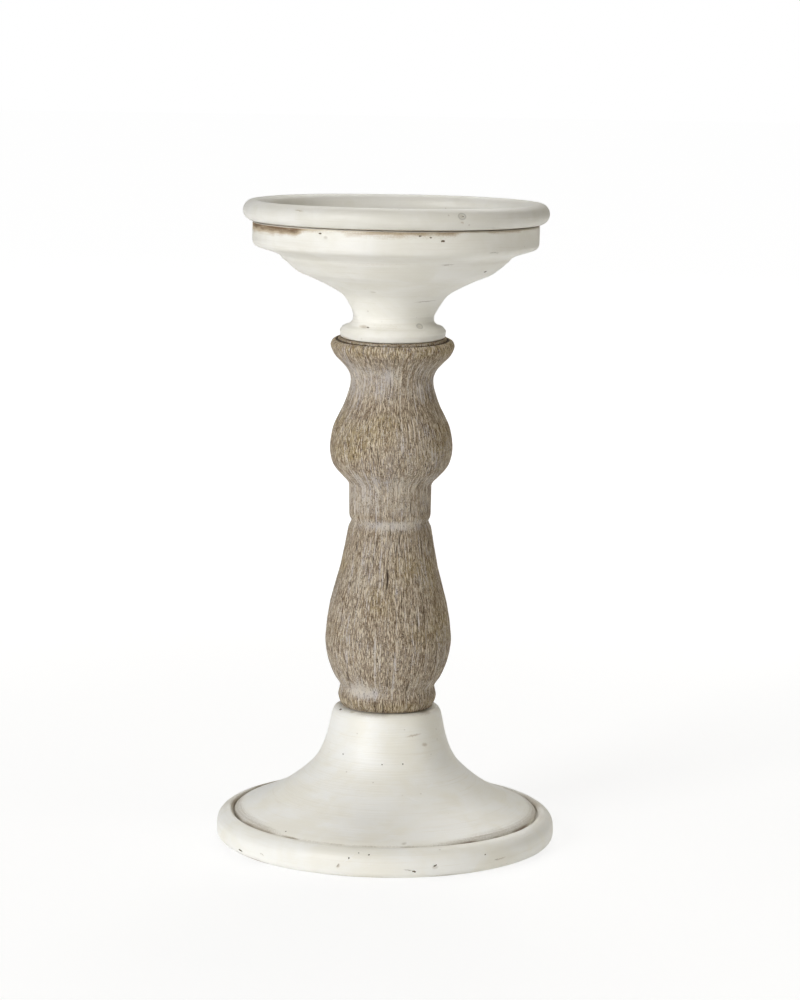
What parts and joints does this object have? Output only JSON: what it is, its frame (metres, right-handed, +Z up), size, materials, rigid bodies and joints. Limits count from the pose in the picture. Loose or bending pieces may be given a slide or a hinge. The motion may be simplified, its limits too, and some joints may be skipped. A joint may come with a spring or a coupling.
{
  "type": "pillar candlestick",
  "caption": "Turned wooden pillar candlestick: cream painted dish and bell base, bare whitewashed baluster column, clamped by a hidden tie rod.",
  "frame": {"origin": "on the candlestick's axis, in the plane of the surface it stands on", "axes": "+Z up along the turning axis; +X and +Y are two perpendicular directions across it, through the plinth screws"},
  "size_m": [0.1346, 0.1346, 0.254],
  "materials": {
    "cream_paint": "turned wood in warm off-white satin paint, brushed round, rubbed back, with brown glaze left in the grooves",
    "whitewashed_wood": "bare brown wood, wire brushed along the grain, with a greyish white wash rubbed into the grain",
    "beech": "plain beech dowel",
    "zinc_steel": "bright zinc plated steel",
    "grey_felt": "pressed wool felt"
  },
  "bodies": {
    "root": {"candle_dish": "cream_paint", "pan_bowl": "cream_paint", "column": "whitewashed_wood", "base_bell": "cream_paint", "base_plinth": "cream_paint", "tie_rod": "zinc_steel", "top_washer": "zinc_steel", "top_nut": "zinc_steel", "bottom_washer": "zinc_steel", "bottom_spring_washer": "zinc_steel", "bottom_nut": "zinc_steel", "dish_dowel_1": "beech", "dish_dowel_2": "beech", "dish_dowel_3": "beech", "plinth_screw_1": "zinc_steel", "plinth_screw_2": "zinc_steel", "plinth_screw_3": "zinc_steel", "plinth_screw_4": "zinc_steel", "felt_pad_1": "grey_felt", "felt_pad_2": "grey_felt", "felt_pad_3": "grey_felt", "felt_pad_4": "grey_felt"}
  },
  "joints": []
}
